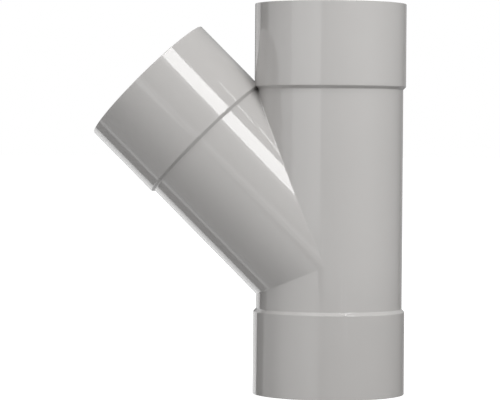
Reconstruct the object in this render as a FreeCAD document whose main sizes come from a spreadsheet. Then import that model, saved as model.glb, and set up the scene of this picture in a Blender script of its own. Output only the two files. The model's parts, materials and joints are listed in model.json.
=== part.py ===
"""A lateral wye fitting for drain pipe, moulded in one piece.

Three equal sockets stand on two crossing tubes: the run goes straight up, and the
branch leaves it at an angle. Millimetres and degrees. The origin is the centre of the
lower socket's mouth, +Z runs up the run, and the branch leans towards -X.
"""

import FreeCAD
import Part
import Sketcher
import os

V = FreeCAD.Vector

NODE = "wye_body"

# Driving sizes: name, value, meaning
SIZES = (
    ("pipe_diameter", 110.0, "outside of the pipe that each socket takes"),
    ("pipe_play", 0.2, "gap all round the pipe in its socket"),
    ("socket_depth", 61.0, "how far the pipe goes in, from the mouth to the stop ledge"),
    ("socket_wall", 3.0, "wall of a socket"),
    ("barrel_wall", 3.2, "wall of the tubes between the sockets"),
    ("ledge_width", 2.3, "how far the stop ledge stands in from the socket's bore"),
    ("ledge_cover", 2.6, "socket skin past the stop ledge, before the shoulder starts"),
    ("branch_angle", 45.0, "between the branch and the run"),
    ("crotch_drop", 1.5, "from where the two upper socket skins meet to their stop ledges"),
    ("heel_run", 15.8, "from the heel, where the tubes meet under the branch, to the ledge below"),
    ("shoulder_slope", 45.0, "between a shoulder and its tube's axis"),
    ("rim_round", 0.5, "radius round the outside of a mouth"),
    ("lead_in", 1.0, "chamfer round the inside of a mouth"),
)

# Sizes that follow from them: name, expression, meaning
RESULTS = (
    ("socket_bore", "Sizes.pipe_diameter / 2 + Sizes.pipe_play", "radius of a socket's bore"),
    ("socket_skin", "Results.socket_bore + Sizes.socket_wall", "outside radius of a socket"),
    ("barrel_bore", "Results.socket_bore - Sizes.ledge_width", "radius of the tubes' bore"),
    ("barrel_skin", "Results.barrel_bore + Sizes.barrel_wall", "outside radius of the tubes"),
    ("skin_length", "Sizes.socket_depth + Sizes.ledge_cover", "outside, from mouth to shoulder"),
    (
        "shoulder_end",
        "Results.skin_length"
        " + (Results.socket_skin - Results.barrel_skin) / tan(Sizes.shoulder_slope * 1 deg)",
        "outside, from mouth to the far edge of the shoulder",
    ),
    (
        "heel",
        "Results.barrel_skin * tan(Sizes.branch_angle / 2 * 1 deg)",
        "from the axes' crossing down to the heel",
    ),
    (
        "crotch",
        "Results.socket_skin / tan(Sizes.branch_angle / 2 * 1 deg)",
        "along either axis, from the crossing to where the upper socket skins meet",
    ),
    ("crossing", "Results.heel + Sizes.heel_run + Sizes.socket_depth", "height of the crossing"),
    (
        "reach",
        "Results.crotch - Sizes.crotch_drop + Sizes.socket_depth",
        "from the crossing to the upper mouth, and to the branch mouth",
    ),
    ("top", "Results.crossing + Results.reach", "height of the upper mouth"),
)


def add_sizes(doc):
    """The driving sizes, each a named cell of a sheet."""
    sheet = doc.addObject("Spreadsheet::Sheet", "Sizes")
    for row, (name, number, meaning) in enumerate(SIZES, 1):
        sheet.set(f"A{row}", meaning)
        sheet.set(f"B{row}", str(number))
        sheet.setAlias(f"B{row}", name)
    doc.recompute()


def add_results(doc):
    """The sizes that follow, each bound to the sheet by its expression."""
    results = doc.addObject("App::VarSet", "Results")
    for name, expression, meaning in RESULTS:
        results.addProperty("App::PropertyFloat", name, "Base", meaning)
        results.setExpression(name, expression)
        doc.recompute()


def axes_plane(body):
    """The body's origin plane that holds both axes."""
    return next(f for f in body.Origin.OriginFeatures if f.Role == "XZ_Plane")


def hold_corner(sketch, line, way, axis, expression):
    """Hold the start of a line on an axis, or at the distance that an expression gives."""
    if expression == "0":
        sketch.addConstraint(Sketcher.Constraint("PointOnObject", line, 1, axis))
        return
    start = sketch.evalExpression(expression)
    number = sketch.addConstraint(Sketcher.Constraint(way, -1, 1, line, 1, start))
    sketch.setExpression(f"Constraints[{number}]", expression)


def round_corner(sketch, line, expression):
    """Put a tangent arc at the start of a line, with the radius that an expression gives."""
    radius = sketch.evalExpression(expression)
    sketch.fillet(line, 1, radius, True, True)
    arc = sketch.GeometryCount - 2
    number = sketch.addConstraint(Sketcher.Constraint("Radius", arc, radius))
    sketch.setExpression(f"Constraints[{number}]", expression)


def outline(body, name, corners):
    """A closed outline in the plane of the two axes.

    Each corner is a radius, a height and a rounding or None, all as expressions.
    """
    sketch = body.newObject("Sketcher::SketchObject", name)
    sketch.AttachmentSupport = [(axes_plane(body), "")]
    sketch.MapMode = "FlatFace"
    spots = [
        V(sketch.evalExpression(radius), sketch.evalExpression(height), 0)
        for radius, height, rounding in corners
    ]
    for start, end in zip(spots, spots[1:] + spots[:1]):
        sketch.addGeometry(Part.LineSegment(start, end))
    for line, (radius, height, rounding) in enumerate(corners):
        before = (line - 1) % len(corners)
        sketch.addConstraint(Sketcher.Constraint("Coincident", before, 2, line, 1))
        hold_corner(sketch, line, "DistanceX", -2, radius)
        hold_corner(sketch, line, "DistanceY", -1, height)
    for line, (radius, height, rounding) in enumerate(corners):
        if rounding:
            round_corner(sketch, line, rounding)
    return sketch


def skin_corners(mouth, inward):
    """The outside of one socket, from its tube to its mouth. inward is the sign of the way in."""
    return [
        ("Results.barrel_skin", f"{mouth} {inward} Results.shoulder_end", None),
        ("Results.socket_skin", f"{mouth} {inward} Results.skin_length", None),
        ("Results.socket_skin", mouth, "Sizes.rim_round"),
    ]


def passage_corners(mouth, inward):
    """The inside of one socket, from its tube past the stop ledge to its mouth."""
    return [
        ("Results.barrel_bore", f"{mouth} {inward} Sizes.socket_depth", None),
        ("Results.socket_bore", f"{mouth} {inward} Sizes.socket_depth", None),
        ("Results.socket_bore", f"{mouth} {inward} Sizes.lead_in", None),
        ("Results.socket_bore + Sizes.lead_in", mouth, None),
    ]


def run_outline(body, name, socket_corners):
    """The section of the run on one side of its axis, with a socket at each end."""
    lower = socket_corners("0", "+")[::-1]
    upper = socket_corners("Results.top", "-")
    return outline(body, name, [("0", "0", None), *lower, *upper, ("0", "Results.top", None)])


def branch_outline(body, name, tube_radius, socket_corners):
    """The section of the branch on one side of its axis, from the crossing to its socket."""
    foot = [("0", "0", None), (tube_radius, "0", None)]
    socket = socket_corners("Results.reach", "-")
    sketch = outline(body, name, [*foot, *socket, ("0", "Results.reach", None)])
    sketch.setExpression("AttachmentOffset.Base.y", "Results.crossing")
    sketch.setExpression("AttachmentOffset.Rotation.Angle", "Sizes.branch_angle")
    return sketch


def turn(body, kind, name, sketch):
    """Turn an outline right round its own upright axis, to add or to cut."""
    feature = body.newObject(kind, name)
    feature.Profile = sketch
    feature.ReferenceAxis = (sketch, ["V_Axis"])
    feature.Angle = 360
    body.Document.recompute()
    return feature


def wye_body(doc):
    """The moulding: the skins of run and branch joined, then both passages cut through."""
    body = doc.addObject("PartDesign::Body", "WyeBody")
    body.Label = NODE
    body.Placement = FreeCAD.Placement()

    run = run_outline(body, "RunSkinOutline", skin_corners)
    turn(body, "PartDesign::Revolution", "RunSkin", run)
    branch = branch_outline(body, "BranchSkinOutline", "Results.barrel_skin", skin_corners)
    solid = turn(body, "PartDesign::Revolution", "BranchSkin", branch)

    run = run_outline(body, "RunPassageOutline", passage_corners)
    bored = turn(body, "PartDesign::Groove", "RunPassage", run)
    branch = branch_outline(body, "BranchPassageOutline", "Results.barrel_bore", passage_corners)
    opened = turn(body, "PartDesign::Groove", "BranchPassage", branch)
    if not solid.Shape.Volume > bored.Shape.Volume > opened.Shape.Volume:
        raise ValueError("a passage cuts nothing")
    return body


def check(doc, body):
    """Stop if any object failed, or if the part isn't one sound solid."""
    for item in doc.Objects:
        if {"Invalid", "Error"} & set(item.State):
            raise ValueError(f"{item.Name} failed: {item.State}")
    shape = body.Shape
    if shape.isNull() or not shape.isValid() or len(shape.Solids) != 1:
        raise ValueError(f"{body.Label} isn't one valid solid")


def main():
    doc = FreeCAD.newDocument("LateralWye")
    add_sizes(doc)
    add_results(doc)
    body = wye_body(doc)
    check(doc, body)
    os.makedirs("parts", exist_ok=True)
    body.Shape.exportStep(f"parts/{body.Label}.step")


main()
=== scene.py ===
"""A lateral wye fitting of light grey PVC, in a plain white studio.

Metres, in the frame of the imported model: +Z runs up the run from the lower socket's mouth,
and the branch leans towards -X.
"""

import json
import math

import bpy
from mathutils import Matrix, Vector


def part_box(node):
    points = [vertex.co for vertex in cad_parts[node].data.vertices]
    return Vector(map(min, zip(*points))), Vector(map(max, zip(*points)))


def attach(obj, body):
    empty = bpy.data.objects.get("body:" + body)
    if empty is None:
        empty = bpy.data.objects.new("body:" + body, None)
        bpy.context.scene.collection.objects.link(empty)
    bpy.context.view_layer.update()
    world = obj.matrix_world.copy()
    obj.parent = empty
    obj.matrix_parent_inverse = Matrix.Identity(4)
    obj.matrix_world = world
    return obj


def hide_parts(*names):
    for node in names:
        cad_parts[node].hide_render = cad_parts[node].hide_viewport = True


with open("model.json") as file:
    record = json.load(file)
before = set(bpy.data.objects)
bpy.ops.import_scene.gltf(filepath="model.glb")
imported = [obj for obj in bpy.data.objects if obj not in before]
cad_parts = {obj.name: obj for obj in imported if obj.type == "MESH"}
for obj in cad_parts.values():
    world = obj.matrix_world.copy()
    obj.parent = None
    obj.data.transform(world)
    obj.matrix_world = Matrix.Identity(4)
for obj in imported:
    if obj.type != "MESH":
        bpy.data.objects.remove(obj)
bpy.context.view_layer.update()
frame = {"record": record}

# Sizes that the frame gives
MOUNTS = {mount["name"]: mount for mount in frame["record"]["mounts"]}
BRANCH_MOUTH = Vector(MOUNTS["branch_socket"]["pos_m"])
BRANCH_WAY = Vector(MOUNTS["branch_socket"]["axis"]).normalized()
REACH = BRANCH_MOUTH.x / BRANCH_WAY.x
CROSSING = BRANCH_MOUTH - REACH * BRANCH_WAY
SOCKET_BORE = MOUNTS["lower_socket"]["dims"]["r_mm"] / 1000
STRAIGHT_BORE = MOUNTS["lower_socket"]["dims"]["length_mm"] / 1000
SOCKET_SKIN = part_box("wye_body")[1].y
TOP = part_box("wye_body")[1].z

# Sizes of the moulding between its sockets
LEAD_IN = 0.001
LEDGE_WIDTH = 0.0023
LEDGE_COVER = 0.0026
BARREL_WALL = 0.0032
SOCKET_DEPTH = STRAIGHT_BORE + LEAD_IN
BARREL_BORE = SOCKET_BORE - LEDGE_WIDTH
BARREL_SKIN = BARREL_BORE + BARREL_WALL
SKIN_LENGTH = SOCKET_DEPTH + LEDGE_COVER
SHOULDER_END = SKIN_LENGTH + SOCKET_SKIN - BARREL_SKIN

# The planes that hold the crossing's creases, by their normals
HALF_ANGLE = BRANCH_WAY.angle(Vector((0, 0, 1))) / 2
ACROSS_CROTCH = Vector((math.cos(HALF_ANGLE), 0, math.sin(HALF_ANGLE)))
ACROSS_HEEL = Vector((-math.sin(HALF_ANGLE), 0, math.cos(HALF_ANGLE)))

# Roundings, as the width of the strip that each puts in place of its edge
CREASE_STRIP = 0.0013
SADDLE_STRIP = 0.0026
SHOULDER_STRIP = 0.0009
RIM_STRIP = 0.0007
WIDEST_STRIP = max(CREASE_STRIP, SADDLE_STRIP, SHOULDER_STRIP, RIM_STRIP)
ROUNDING_STEPS = 4

# Where the shoulders run into the crotch, the roundings fade out and leave the last stretch sharp
ROUNDING_FADE = 0.004
SHARP_END = 0.0015

# Fineness of the mesh, and how near counts as touching
SIDES = 256
GUARD_RING = 0.0065
FLAT_ANGLE = math.radians(4)
SMOOTH_ANGLE = math.radians(32)
TOUCH = 0.000002
CUT_TOUCH = TOUCH / 10
SEAM_TOUCH = TOUCH * 2
PLANE_TOUCH = TOUCH * 5

# Finish of the moulded plastic
PVC_GREY = (0.45, 0.4385, 0.4285)
PVC_REFRACTION = 1.54
ROUGHNESS = 0.045
ROUGHNESS_SPREAD = 0.04
TONE = 0.97
CLOUD_TONE = 0.05
GRAIN_TONE = 0.01
CLOUD_SCALE = 16.0
GRAIN_SCALE = 900.0
PEEL_SCALE = 260.0
PEEL_DEPTH = 0.00001
PEEL_STRENGTH = 0.2

# The floor: its paint, and the glow that the camera sees, by the distance from the run
FLOOR_RADIUS = 40
FLOOR_SIDES = 96
FLOOR_PAINT = (0.32, 0.32, 0.32)
FLOOR_GLOW = (0.86, 1.0)
FLOOR_GLOW_SPAN = (0.5, 1.5)

# The two ways that a level fades while a number crosses a span
RISE = (0.0, 1.0)
FALL = (1.0, 0.0)
WHITE = (1, 1, 1, 1)

# The studio room, which only reflections and bounced light show. Levels are shares of white.
# Bearings are in degrees: 0 in front, 90 on the right and -90 on the left. Heights are the z of
# a direction, so the horizon is at 0.

# Its walls, bright in front and dark behind, with a dimmer panel in the middle. WALL_FACING is a
# span of the bearing's cosine.
WALL_LEVELS = (0.05, 1.3)
WALL_FACING = (-0.9, 0.4)
LEFT_WALL_LEVELS = (0.15, 0.0)
LEFT_WALL_END = (-80.0, -66.0)
PANEL_LEVELS = (0.0, 0.3)
PANEL_EDGE = (-13.0, -9.0)
PANEL_END = (10.0, 55.0)
HORIZON_LEVELS = (0.95, 1.35)
HORIZON = (0.0, 0.04)

# Its low part, with a lighter skirting on the left
LOW_LEVELS = (0.85, 0.25)
LOW_RIGHT_END = (80.0, 120.0)
LOW_LEFT_LEVEL = 0.8
LOW_LEFT_END = (-88.0, -66.0)
DEEP = (-0.35, -0.12)
SKIRTING_LEVELS = (0.45, 0.0)
SKIRTING_START = (-100.0, -60.0)
SKIRTING_END = (-24.0, -14.0)
SKIRTING_FOOT = (-0.12, -0.095)
SKIRTING_TOP = (-0.07, -0.045)

# A dark flag on the left, lighter at its foot, where a slit lets light through
FLAG_LEVEL = 0.04
FLAG_FOOT_LIFT = 0.4
FLAG_EDGE = (-110.0, -103.0)
SLIT_LEVELS = (0.0, 0.7)
SLIT_START = (-120.0, -114.0)
SLIT_END = (-112.0, -106.0)

# The white backdrop behind the flag. Both lean, by these degrees from the foot to the top.
LEAN = (9.0, 0.0)
LEAN_HEIGHT = (-0.09, 0.03)
BACKDROP_LEVELS = (1.3, 0.9)
BACKDROP_HEIGHT = (-0.09, 0.04)
BACKDROP_START = (-172.0, -146.0)
BACKDROP_END = (-133.0, -130.5)
BACKDROP_TOP = (0.35, 0.5)

# A soft strip at the back
REAR_LEVELS = (0.0, 0.28)
REAR_START = (154.0, 161.0)

# The upper part of the room, lighter in front and behind on the right. UPPER_FRONT is a span of
# the direction's -y, and the rear right has spans of its x and y.
UPPER_FOOT = (0.035, 0.11)
UPPER_LEVELS = (0.1, 0.45)
UPPER_FRONT = (0.0, 0.8)
REAR_RIGHT_LEVELS = (0.0, 0.25)
REAR_RIGHT_X = (-0.2, 0.1)
REAR_RIGHT_Y = (-0.2, 0.2)

# The camera, fitted to the outlines in the photo
PICTURE = (500, 400)
SENSOR = 36.0
FOCAL_PIXELS = 2623.8
CROSSING_PIXEL = (329.05, 263.93)
CROSSING_DEPTH = 2.0224
CAMERA_TURN = math.radians(5.03)
CAMERA_RAISE = math.radians(1.197)
CAMERA_ROLL = math.radians(0.373)


def pick_nothing():
    bpy.ops.object.select_all(action="DESELECT")


def take(piece):
    """Make one piece the selected and active one."""
    pick_nothing()
    piece.select_set(True)
    bpy.context.view_layer.objects.active = piece


def edit_all(select_mode):
    """Open the active piece for editing, with all of it selected."""
    bpy.ops.object.mode_set(mode="EDIT")
    bpy.ops.mesh.select_mode(type=select_mode)
    bpy.ops.mesh.select_all(action="SELECT")


def leave_edit():
    bpy.ops.object.mode_set(mode="OBJECT")


def merge_and_turn_out(touch):
    """Merge the selected vertices that touch, and turn all normals outwards."""
    bpy.ops.mesh.remove_doubles(threshold=touch)
    bpy.ops.mesh.normals_make_consistent(inside=False)


def copy_of(piece, name):
    """A second piece with a mesh of its own."""
    twin = piece.copy()
    twin.data = piece.data.copy()
    twin.name = name
    bpy.context.scene.collection.objects.link(twin)
    return twin


def turned_wall(name, corners):
    """A ring drawn out from corner to corner of its section, each a radius and a height."""
    first_radius, first_height = corners[0]
    pick_nothing()
    bpy.ops.mesh.primitive_circle_add(
        vertices=SIDES, radius=first_radius, location=(0, 0, first_height)
    )
    wall = bpy.context.active_object
    wall.name = name
    bpy.ops.object.transform_apply(location=True, rotation=True, scale=True)
    edit_all("EDGE")
    for (radius, height), (next_radius, next_height) in zip(corners, corners[1:] + corners[:1]):
        bpy.ops.mesh.extrude_region_move(
            TRANSFORM_OT_translate={"value": (0, 0, next_height - height)}
        )
        share = next_radius / radius
        bpy.ops.transform.resize(value=(share, share, 1), center_override=(0, 0, 0))
    bpy.ops.mesh.select_all(action="SELECT")
    merge_and_turn_out(TOUCH)
    leave_edit()
    return wall


def keep_side(piece, normal):
    """Cut a piece by the plane through the crossing, and keep the side that the normal points to."""
    take(piece)
    edit_all("VERT")
    bpy.ops.mesh.bisect(
        plane_co=CROSSING, plane_no=normal, clear_inner=True, threshold=CUT_TOUCH
    )
    leave_edit()


def mirrored(piece, normal, name):
    """The mirror image of a piece in the plane through the crossing."""
    twin = copy_of(piece, name)
    flip = Matrix.Scale(-1, 4, normal)
    place = Matrix.Translation(CROSSING)
    twin.matrix_world = place @ flip @ place.inverted()
    take(twin)
    bpy.ops.object.transform_apply(location=True, rotation=True, scale=True)
    return twin


def wye_section():
    """The section of the run's wall: up its outside from the lower mouth, and down its inside.

    The guard ring keeps what the crotch does to the mesh from running up the upper socket.
    """
    outside = [
        (SOCKET_SKIN, 0),
        (SOCKET_SKIN, SKIN_LENGTH),
        (BARREL_SKIN, SHOULDER_END),
        (BARREL_SKIN, TOP - SHOULDER_END),
        (SOCKET_SKIN, TOP - SKIN_LENGTH),
        (SOCKET_SKIN, TOP - SKIN_LENGTH + GUARD_RING),
        (SOCKET_SKIN, TOP),
    ]
    inside = [
        (SOCKET_BORE + LEAD_IN, TOP),
        (SOCKET_BORE, TOP - LEAD_IN),
        (SOCKET_BORE, TOP - SOCKET_DEPTH),
        (BARREL_BORE, TOP - SOCKET_DEPTH),
        (BARREL_BORE, SOCKET_DEPTH),
        (SOCKET_BORE, SOCKET_DEPTH),
        (SOCKET_BORE, LEAD_IN),
        (SOCKET_BORE + LEAD_IN, 0),
    ]
    return outside + inside


def wye_body():
    """The moulding: a turned run, and its upper part mirrored in the crotch's plane as the branch."""
    lower = turned_wall("wye_moulding", wye_section())
    upper = copy_of(lower, "upper_run")
    keep_side(lower, -ACROSS_HEEL)
    keep_side(upper, ACROSS_CROTCH)
    keep_side(upper, ACROSS_HEEL)
    branch = mirrored(upper, ACROSS_CROTCH, "branch")

    take(lower)
    upper.select_set(True)
    branch.select_set(True)
    bpy.ops.object.join()
    edit_all("VERT")
    merge_and_turn_out(SEAM_TOUCH)
    leave_edit()
    weigh_edges(lower.data)
    round_edges(lower)
    return lower


def weigh_edges(mesh):
    """Give each edge that turns a corner the weight of its rounding."""
    weights = mesh.attributes.new("bevel_weight_edge", "FLOAT", "EDGE")
    normals_at = {}
    for face in mesh.polygons:
        for key in face.edge_keys:
            normals_at.setdefault(key, []).append(face.normal.copy())
    for edge in mesh.edges:
        normals = normals_at[edge.key]
        if len(normals) == 2 and normals[0].angle(normals[1]) >= FLAT_ANGLE:
            ends = [mesh.vertices[i].co for i in edge.vertices]
            weights.data[edge.index].value = strip_width(ends) / WIDEST_STRIP


def strip_width(ends):
    """How wide the rounding of an edge is, by where the edge lies."""
    middle = (ends[0] + ends[1]) / 2
    if middle.x < 0 and (lies_in_plane(ends, ACROSS_CROTCH) or lies_in_plane(ends, ACROSS_HEEL)):
        from_run = math.hypot(middle.x, middle.y)
        if from_run < (BARREL_BORE + BARREL_SKIN) / 2:
            return SADDLE_STRIP
        below_shoulder = TOP - SHOULDER_END - middle.z
        return CREASE_STRIP * share_of_rounding(below_shoulder)
    along = max(middle.z - CROSSING.z, (middle - CROSSING).dot(BRANCH_WAY))
    if along > REACH - LEAD_IN / 2 or middle.z < LEAD_IN / 2:
        return RIM_STRIP
    from_crease = abs((middle - CROSSING).dot(ACROSS_CROTCH))
    return SHOULDER_STRIP * share_of_rounding(from_crease)


def lies_in_plane(points, normal):
    """Whether points lie in the plane through the crossing with this normal."""
    return all(abs((point - CROSSING).dot(normal)) < PLANE_TOUCH for point in points)


def share_of_rounding(distance):
    """How much of its rounding an edge has, this far from where it runs into another."""
    return min(1, max(0, (distance - SHARP_END) / ROUNDING_FADE))


def round_edges(body):
    """Put a rounded strip in place of each weighted edge, and shade the rest smooth."""
    bevel = body.modifiers.new("roundings", "BEVEL")
    bevel.limit_method = "WEIGHT"
    bevel.offset_type = "WIDTH"
    bevel.width = WIDEST_STRIP
    bevel.segments = ROUNDING_STEPS
    bevel.use_clamp_overlap = False
    take(body)
    bpy.ops.object.modifier_apply(modifier=bevel.name)
    bpy.ops.object.shade_smooth_by_angle(angle=SMOOTH_ANGLE)
    even = body.modifiers.new("normals", "WEIGHTED_NORMAL")
    even.keep_sharp = True
    bpy.ops.object.modifier_apply(modifier=even.name)


class Value:
    """A number that a node gives, so that shader maths reads as plain sums."""

    def __init__(self, shader, socket):
        self.shader = shader
        self.socket = socket

    def __add__(self, other):
        return self.shader.math("ADD", self, other)

    def __radd__(self, other):
        return self.shader.math("ADD", self, other)

    def __sub__(self, other):
        return self.shader.math("SUBTRACT", self, other)

    def __rsub__(self, other):
        return self.shader.math("SUBTRACT", other, self)

    def __mul__(self, other):
        return self.shader.math("MULTIPLY", self, other)

    def __rmul__(self, other):
        return self.shader.math("MULTIPLY", self, other)


class Shader:
    """The node tree of a material or of the world."""

    def __init__(self, owner):
        owner.use_nodes = True
        self.tree = owner.node_tree
        self.tree.nodes.clear()

    def node(self, kind, settings=None, **inputs):
        """Add a node, with its settings first and then its inputs."""
        made = self.tree.nodes.new(kind)
        for name, setting in (settings or {}).items():
            setattr(made, name, setting)
        for name, value in inputs.items():
            self.feed(made, name, value)
        return made

    def feed(self, made, name, value):
        """Set or link one input, by its name with _ for each space, or by its number after a _."""
        number = name.removeprefix("_")
        key = int(number) if number.isdigit() else name.replace("_", " ")
        value = getattr(value, "socket", value)
        if isinstance(value, bpy.types.NodeSocket):
            self.tree.links.new(value, made.inputs[key])
        else:
            made.inputs[key].default_value = value

    def value(self, made, output=0):
        return Value(self, made.outputs[output])

    def split(self, vector):
        """The x, y and z of a vector."""
        made = self.node("ShaderNodeSeparateXYZ", Vector=vector)
        return [self.value(made, i) for i in range(3)]

    def math(self, operation, *values):
        inputs = {f"_{i}": value for i, value in enumerate(values)}
        return self.value(self.node("ShaderNodeMath", {"operation": operation}, **inputs))

    def noise(self, place, scale, detail):
        made = self.node("ShaderNodeTexNoise", Vector=place, Scale=scale, Detail=detail)
        return self.value(made, "Fac")

    def ramp(self, value, levels, span):
        """A smooth step from one level to the other while a number crosses a span."""
        return self.fade(value, levels, span, "SMOOTHSTEP")

    def line(self, value, levels, span):
        """A straight slope from one level to the other while a number crosses a span."""
        return self.fade(value, levels, span, "LINEAR")

    def fade(self, value, levels, span, shape):
        made = self.node(
            "ShaderNodeMapRange",
            {"interpolation_type": shape},
            Value=value,
            From_Min=span[0],
            From_Max=span[1],
            To_Min=levels[0],
            To_Max=levels[1],
        )
        return self.value(made)


def moulded_pvc():
    """Light grey PVC from a polished mould: even colour, clear gloss and the faintest orange peel.

    Inputs 6 and 7 of the mix node, and its output 2, are colours.
    """
    material = bpy.data.materials.new("moulded_grey_pvc")
    shader = Shader(material)
    place = shader.node("ShaderNodeTexCoord").outputs["Object"]
    cloud = shader.noise(place, CLOUD_SCALE, detail=3.0)
    grain = shader.noise(place, GRAIN_SCALE, detail=1.0)
    peel = shader.noise(place, PEEL_SCALE, detail=1.0)
    tone = TONE + cloud * CLOUD_TONE + grain * GRAIN_TONE
    colour = shader.node(
        "ShaderNodeMix",
        {"data_type": "RGBA", "blend_type": "MULTIPLY"},
        Factor=1.0,
        _6=(*PVC_GREY, 1),
        _7=shader.node("ShaderNodeCombineColor", Red=tone, Green=tone, Blue=tone).outputs[0],
    )
    skin = shader.node("ShaderNodeBump", Strength=PEEL_STRENGTH, Distance=PEEL_DEPTH, Height=peel)
    surface = shader.node(
        "ShaderNodeBsdfPrincipled",
        Base_Color=colour.outputs[2],
        Roughness=ROUGHNESS + cloud * ROUGHNESS_SPREAD,
        IOR=PVC_REFRACTION,
        Normal=skin.outputs[0],
    )
    shader.node("ShaderNodeOutputMaterial", Surface=surface.outputs[0])
    return material


def white_floor():
    """A pale floor that looks white and keeps the fitting's soft shadow.

    It is clear to glossy rays, which see the low part of the room through it, and clear from below.
    """
    material = bpy.data.materials.new("white_floor")
    material.cycles.emission_sampling = "NONE"
    shader = Shader(material)
    path = shader.node("ShaderNodeLightPath")
    x, y, _ = shader.split(shader.node("ShaderNodeTexCoord").outputs["Object"])
    from_run = shader.math("SQRT", x * x + y * y)
    glow_level = shader.ramp(from_run, FLOOR_GLOW, FLOOR_GLOW_SPAN)
    paint = shader.node("ShaderNodeBsdfDiffuse", Color=(*FLOOR_PAINT, 1))
    glow = shader.node(
        "ShaderNodeEmission",
        Color=WHITE,
        Strength=shader.value(path, "Is Camera Ray") * glow_level,
    )
    lit = shader.node("ShaderNodeAddShader", _0=paint.outputs[0], _1=glow.outputs[0])
    clear = shader.node("ShaderNodeBsdfTransparent")
    from_below = shader.value(shader.node("ShaderNodeNewGeometry"), "Backfacing")
    through = shader.math("MAXIMUM", shader.value(path, "Is Glossy Ray"), from_below)
    both = shader.node("ShaderNodeMixShader", _0=through, _1=lit.outputs[0], _2=clear.outputs[0])
    shader.node("ShaderNodeOutputMaterial", Surface=both.outputs[0])
    return material


def add_floor():
    pick_nothing()
    bpy.ops.mesh.primitive_circle_add(vertices=FLOOR_SIDES, radius=FLOOR_RADIUS, fill_type="NGON")
    floor = bpy.context.active_object
    floor.name = "floor"
    floor.data.materials.append(white_floor())


def wall_level(shader, bearing, height):
    """The walls, bright in front and dark behind, with a dimmer panel in the middle."""
    facing = shader.math("COSINE", bearing * math.radians(1))
    panel = shader.ramp(bearing, PANEL_LEVELS, PANEL_EDGE) * shader.line(bearing, FALL, PANEL_END)
    walls = shader.line(facing, WALL_LEVELS, WALL_FACING)
    walls = walls + shader.ramp(bearing, LEFT_WALL_LEVELS, LEFT_WALL_END) - panel
    return walls * shader.line(height, HORIZON_LEVELS, HORIZON)


def low_level(shader, bearing, height, deep):
    """The low part of the room, dimmer on the right, with a lighter skirting on the left."""
    left_levels = (LOW_LEFT_LEVEL + (1 - LOW_LEFT_LEVEL) * deep, 1.0)
    low = shader.ramp(bearing, LOW_LEVELS, PANEL_EDGE) * shader.line(bearing, FALL, LOW_RIGHT_END)
    low = low * shader.ramp(bearing, left_levels, LOW_LEFT_END)
    skirting = shader.ramp(bearing, SKIRTING_LEVELS, SKIRTING_END)
    skirting = skirting * shader.ramp(bearing, RISE, SKIRTING_START)
    return low + skirting * shader.ramp(height, RISE, SKIRTING_FOOT)


def slit_level(shader, bearing, deep):
    """The slit of light at the foot of the flag."""
    return shader.ramp(bearing, SLIT_LEVELS, SLIT_START) * shader.ramp(bearing, FALL, SLIT_END) * deep


def backdrop_level(shader, leaning, height):
    """The white backdrop that shows past the flag."""
    backdrop = shader.line(height, BACKDROP_LEVELS, BACKDROP_HEIGHT)
    backdrop = backdrop * shader.ramp(leaning, RISE, BACKDROP_START)
    backdrop = backdrop * shader.ramp(leaning, FALL, BACKDROP_END)
    return backdrop * shader.ramp(height, FALL, BACKDROP_TOP)


def upper_level(shader, x, y):
    """The upper part of the room, lighter in front and behind on the right."""
    rear_right = shader.ramp(x, REAR_RIGHT_LEVELS, REAR_RIGHT_X) * shader.ramp(y, RISE, REAR_RIGHT_Y)
    return shader.line(0 - y, UPPER_LEVELS, UPPER_FRONT) + rear_right


def room_level(shader, x, y, height):
    """How bright the studio room is in a direction."""
    bearing = shader.math("ARCTAN2", x, 0 - y) * math.degrees(1)
    leaning = bearing + shader.line(height, LEAN, LEAN_HEIGHT)
    deep = shader.ramp(height, FALL, DEEP)
    sunk = shader.ramp(height, FALL, SKIRTING_TOP)
    raised = shader.ramp(height, RISE, UPPER_FOOT)
    flag_levels = (FLAG_LEVEL + FLAG_FOOT_LIFT * deep, 1.0)

    level = wall_level(shader, bearing, height) * (1 - sunk)
    level = level + low_level(shader, bearing, height, deep) * sunk
    level = level * shader.ramp(leaning, flag_levels, FLAG_EDGE)
    level = level + slit_level(shader, bearing, deep)
    level = level + shader.ramp(bearing, REAR_LEVELS, REAR_START)
    level = level * (1 - raised) + upper_level(shader, x, y) * raised
    return level + backdrop_level(shader, leaning, height)


def light_world():
    """White to the camera, and the studio room to all other rays."""
    world = bpy.data.worlds.new("studio")
    bpy.context.scene.world = world
    shader = Shader(world)
    way = shader.node("ShaderNodeTexCoord").outputs["Generated"]
    room = room_level(shader, *shader.split(way))
    seen = shader.value(shader.node("ShaderNodeLightPath"), "Is Camera Ray")
    soft = shader.node("ShaderNodeBackground", Color=WHITE, Strength=room)
    plain = shader.node("ShaderNodeBackground", Color=WHITE, Strength=1.0)
    both = shader.node("ShaderNodeMixShader", _0=seen, _1=soft.outputs[0], _2=plain.outputs[0])
    shader.node("ShaderNodeOutputWorld", Surface=both.outputs[0])


def add_lamp(name, azimuth, elevation, distance, width, height, radiance):
    """A softbox that faces the fitting. Its angles, width and height are degrees as seen from there."""
    turn, rise = math.radians(azimuth), math.radians(elevation)
    way = Vector(
        (math.sin(turn) * math.cos(rise), -math.cos(turn) * math.cos(rise), math.sin(rise))
    )
    data = bpy.data.lights.new(name, "AREA")
    data.shape = "RECTANGLE"
    data.size = 2 * distance * math.tan(math.radians(width / 2))
    data.size_y = 2 * distance * math.tan(math.radians(height / 2))
    data.energy = radiance * math.pi * data.size * data.size_y
    lamp = bpy.data.objects.new(name, data)
    lamp.location = CROSSING + way * distance
    lamp.rotation_euler = way.to_track_quat("Z", "Y").to_euler()
    lamp.visible_camera = False
    bpy.context.scene.collection.objects.link(lamp)


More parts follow.
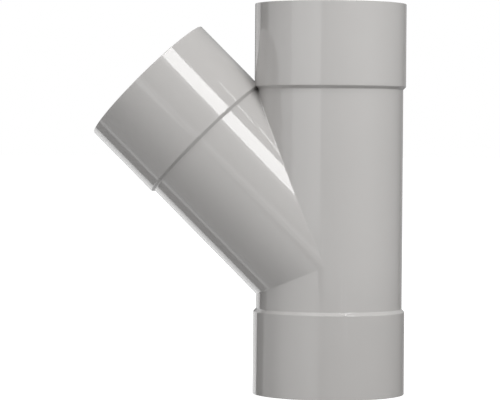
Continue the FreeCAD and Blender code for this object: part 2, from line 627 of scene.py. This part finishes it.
def add_lamps():
    """The key, with a weak spill on its left, and the softer boxes around the fitting."""
    add_lamp("key_box", azimuth=40.0, elevation=37, distance=4.0, width=17.3, height=32, radiance=7.9)
    add_lamp("key_spill", azimuth=27.9, elevation=37, distance=4.0, width=7.0, height=32, radiance=0.85)
    add_lamp("front_top", azimuth=4, elevation=67, distance=4.0, width=46, height=26, radiance=3.1)
    add_lamp("left_panel", azimuth=-34, elevation=6.5, distance=2.2, width=46, height=15, radiance=0.75)
    add_lamp("left_box", azimuth=-60, elevation=28, distance=4.0, width=36, height=24, radiance=1.1)
    add_lamp("left_top", azimuth=-90, elevation=66, distance=4.0, width=60, height=26, radiance=0.8)
    add_lamp("right_panel", azimuth=58, elevation=20, distance=1.3, width=54, height=15, radiance=1.2)
    add_lamp("right_side", azimuth=92, elevation=24, distance=2.2, width=30, height=20, radiance=1.65)
    add_lamp("rear_box", azimuth=184, elevation=60, distance=2.2, width=40, height=44, radiance=1.5)


def add_camera():
    """A camera that sees the crossing of the axes at its pixel in the photo."""
    turn, rise = CAMERA_TURN, CAMERA_RAISE
    forward = Vector(
        (-math.sin(turn) * math.cos(rise), math.cos(turn) * math.cos(rise), -math.sin(rise))
    )
    right = Vector((math.cos(turn), math.sin(turn), 0))
    down = forward.cross(right)
    rolled = Matrix.Rotation(CAMERA_ROLL, 3, "Z") @ Matrix((right, down, forward))
    offset = Vector(
        (
            (CROSSING_PIXEL[0] - PICTURE[0] / 2) / FOCAL_PIXELS,
            (CROSSING_PIXEL[1] - PICTURE[1] / 2) / FOCAL_PIXELS,
            1,
        )
    )
    place = CROSSING - CROSSING_DEPTH * (rolled.transposed() @ offset)
    data = bpy.data.cameras.new("camera")
    data.sensor_width = SENSOR
    data.lens = FOCAL_PIXELS * SENSOR / PICTURE[0]
    camera = bpy.data.objects.new("camera", data)
    axes = Matrix((rolled[0], -rolled[1], -rolled[2])).transposed()
    camera.matrix_world = Matrix.Translation(place) @ axes.to_4x4()
    bpy.context.scene.collection.objects.link(camera)
    bpy.context.scene.camera = camera


body = wye_body()
body.data.materials.clear()
body.data.materials.append(moulded_pvc())
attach(body, "root")
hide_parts("wye_body")

add_floor()
light_world()
add_lamps()
add_camera()
bpy.context.scene.view_settings.view_transform = "Standard"
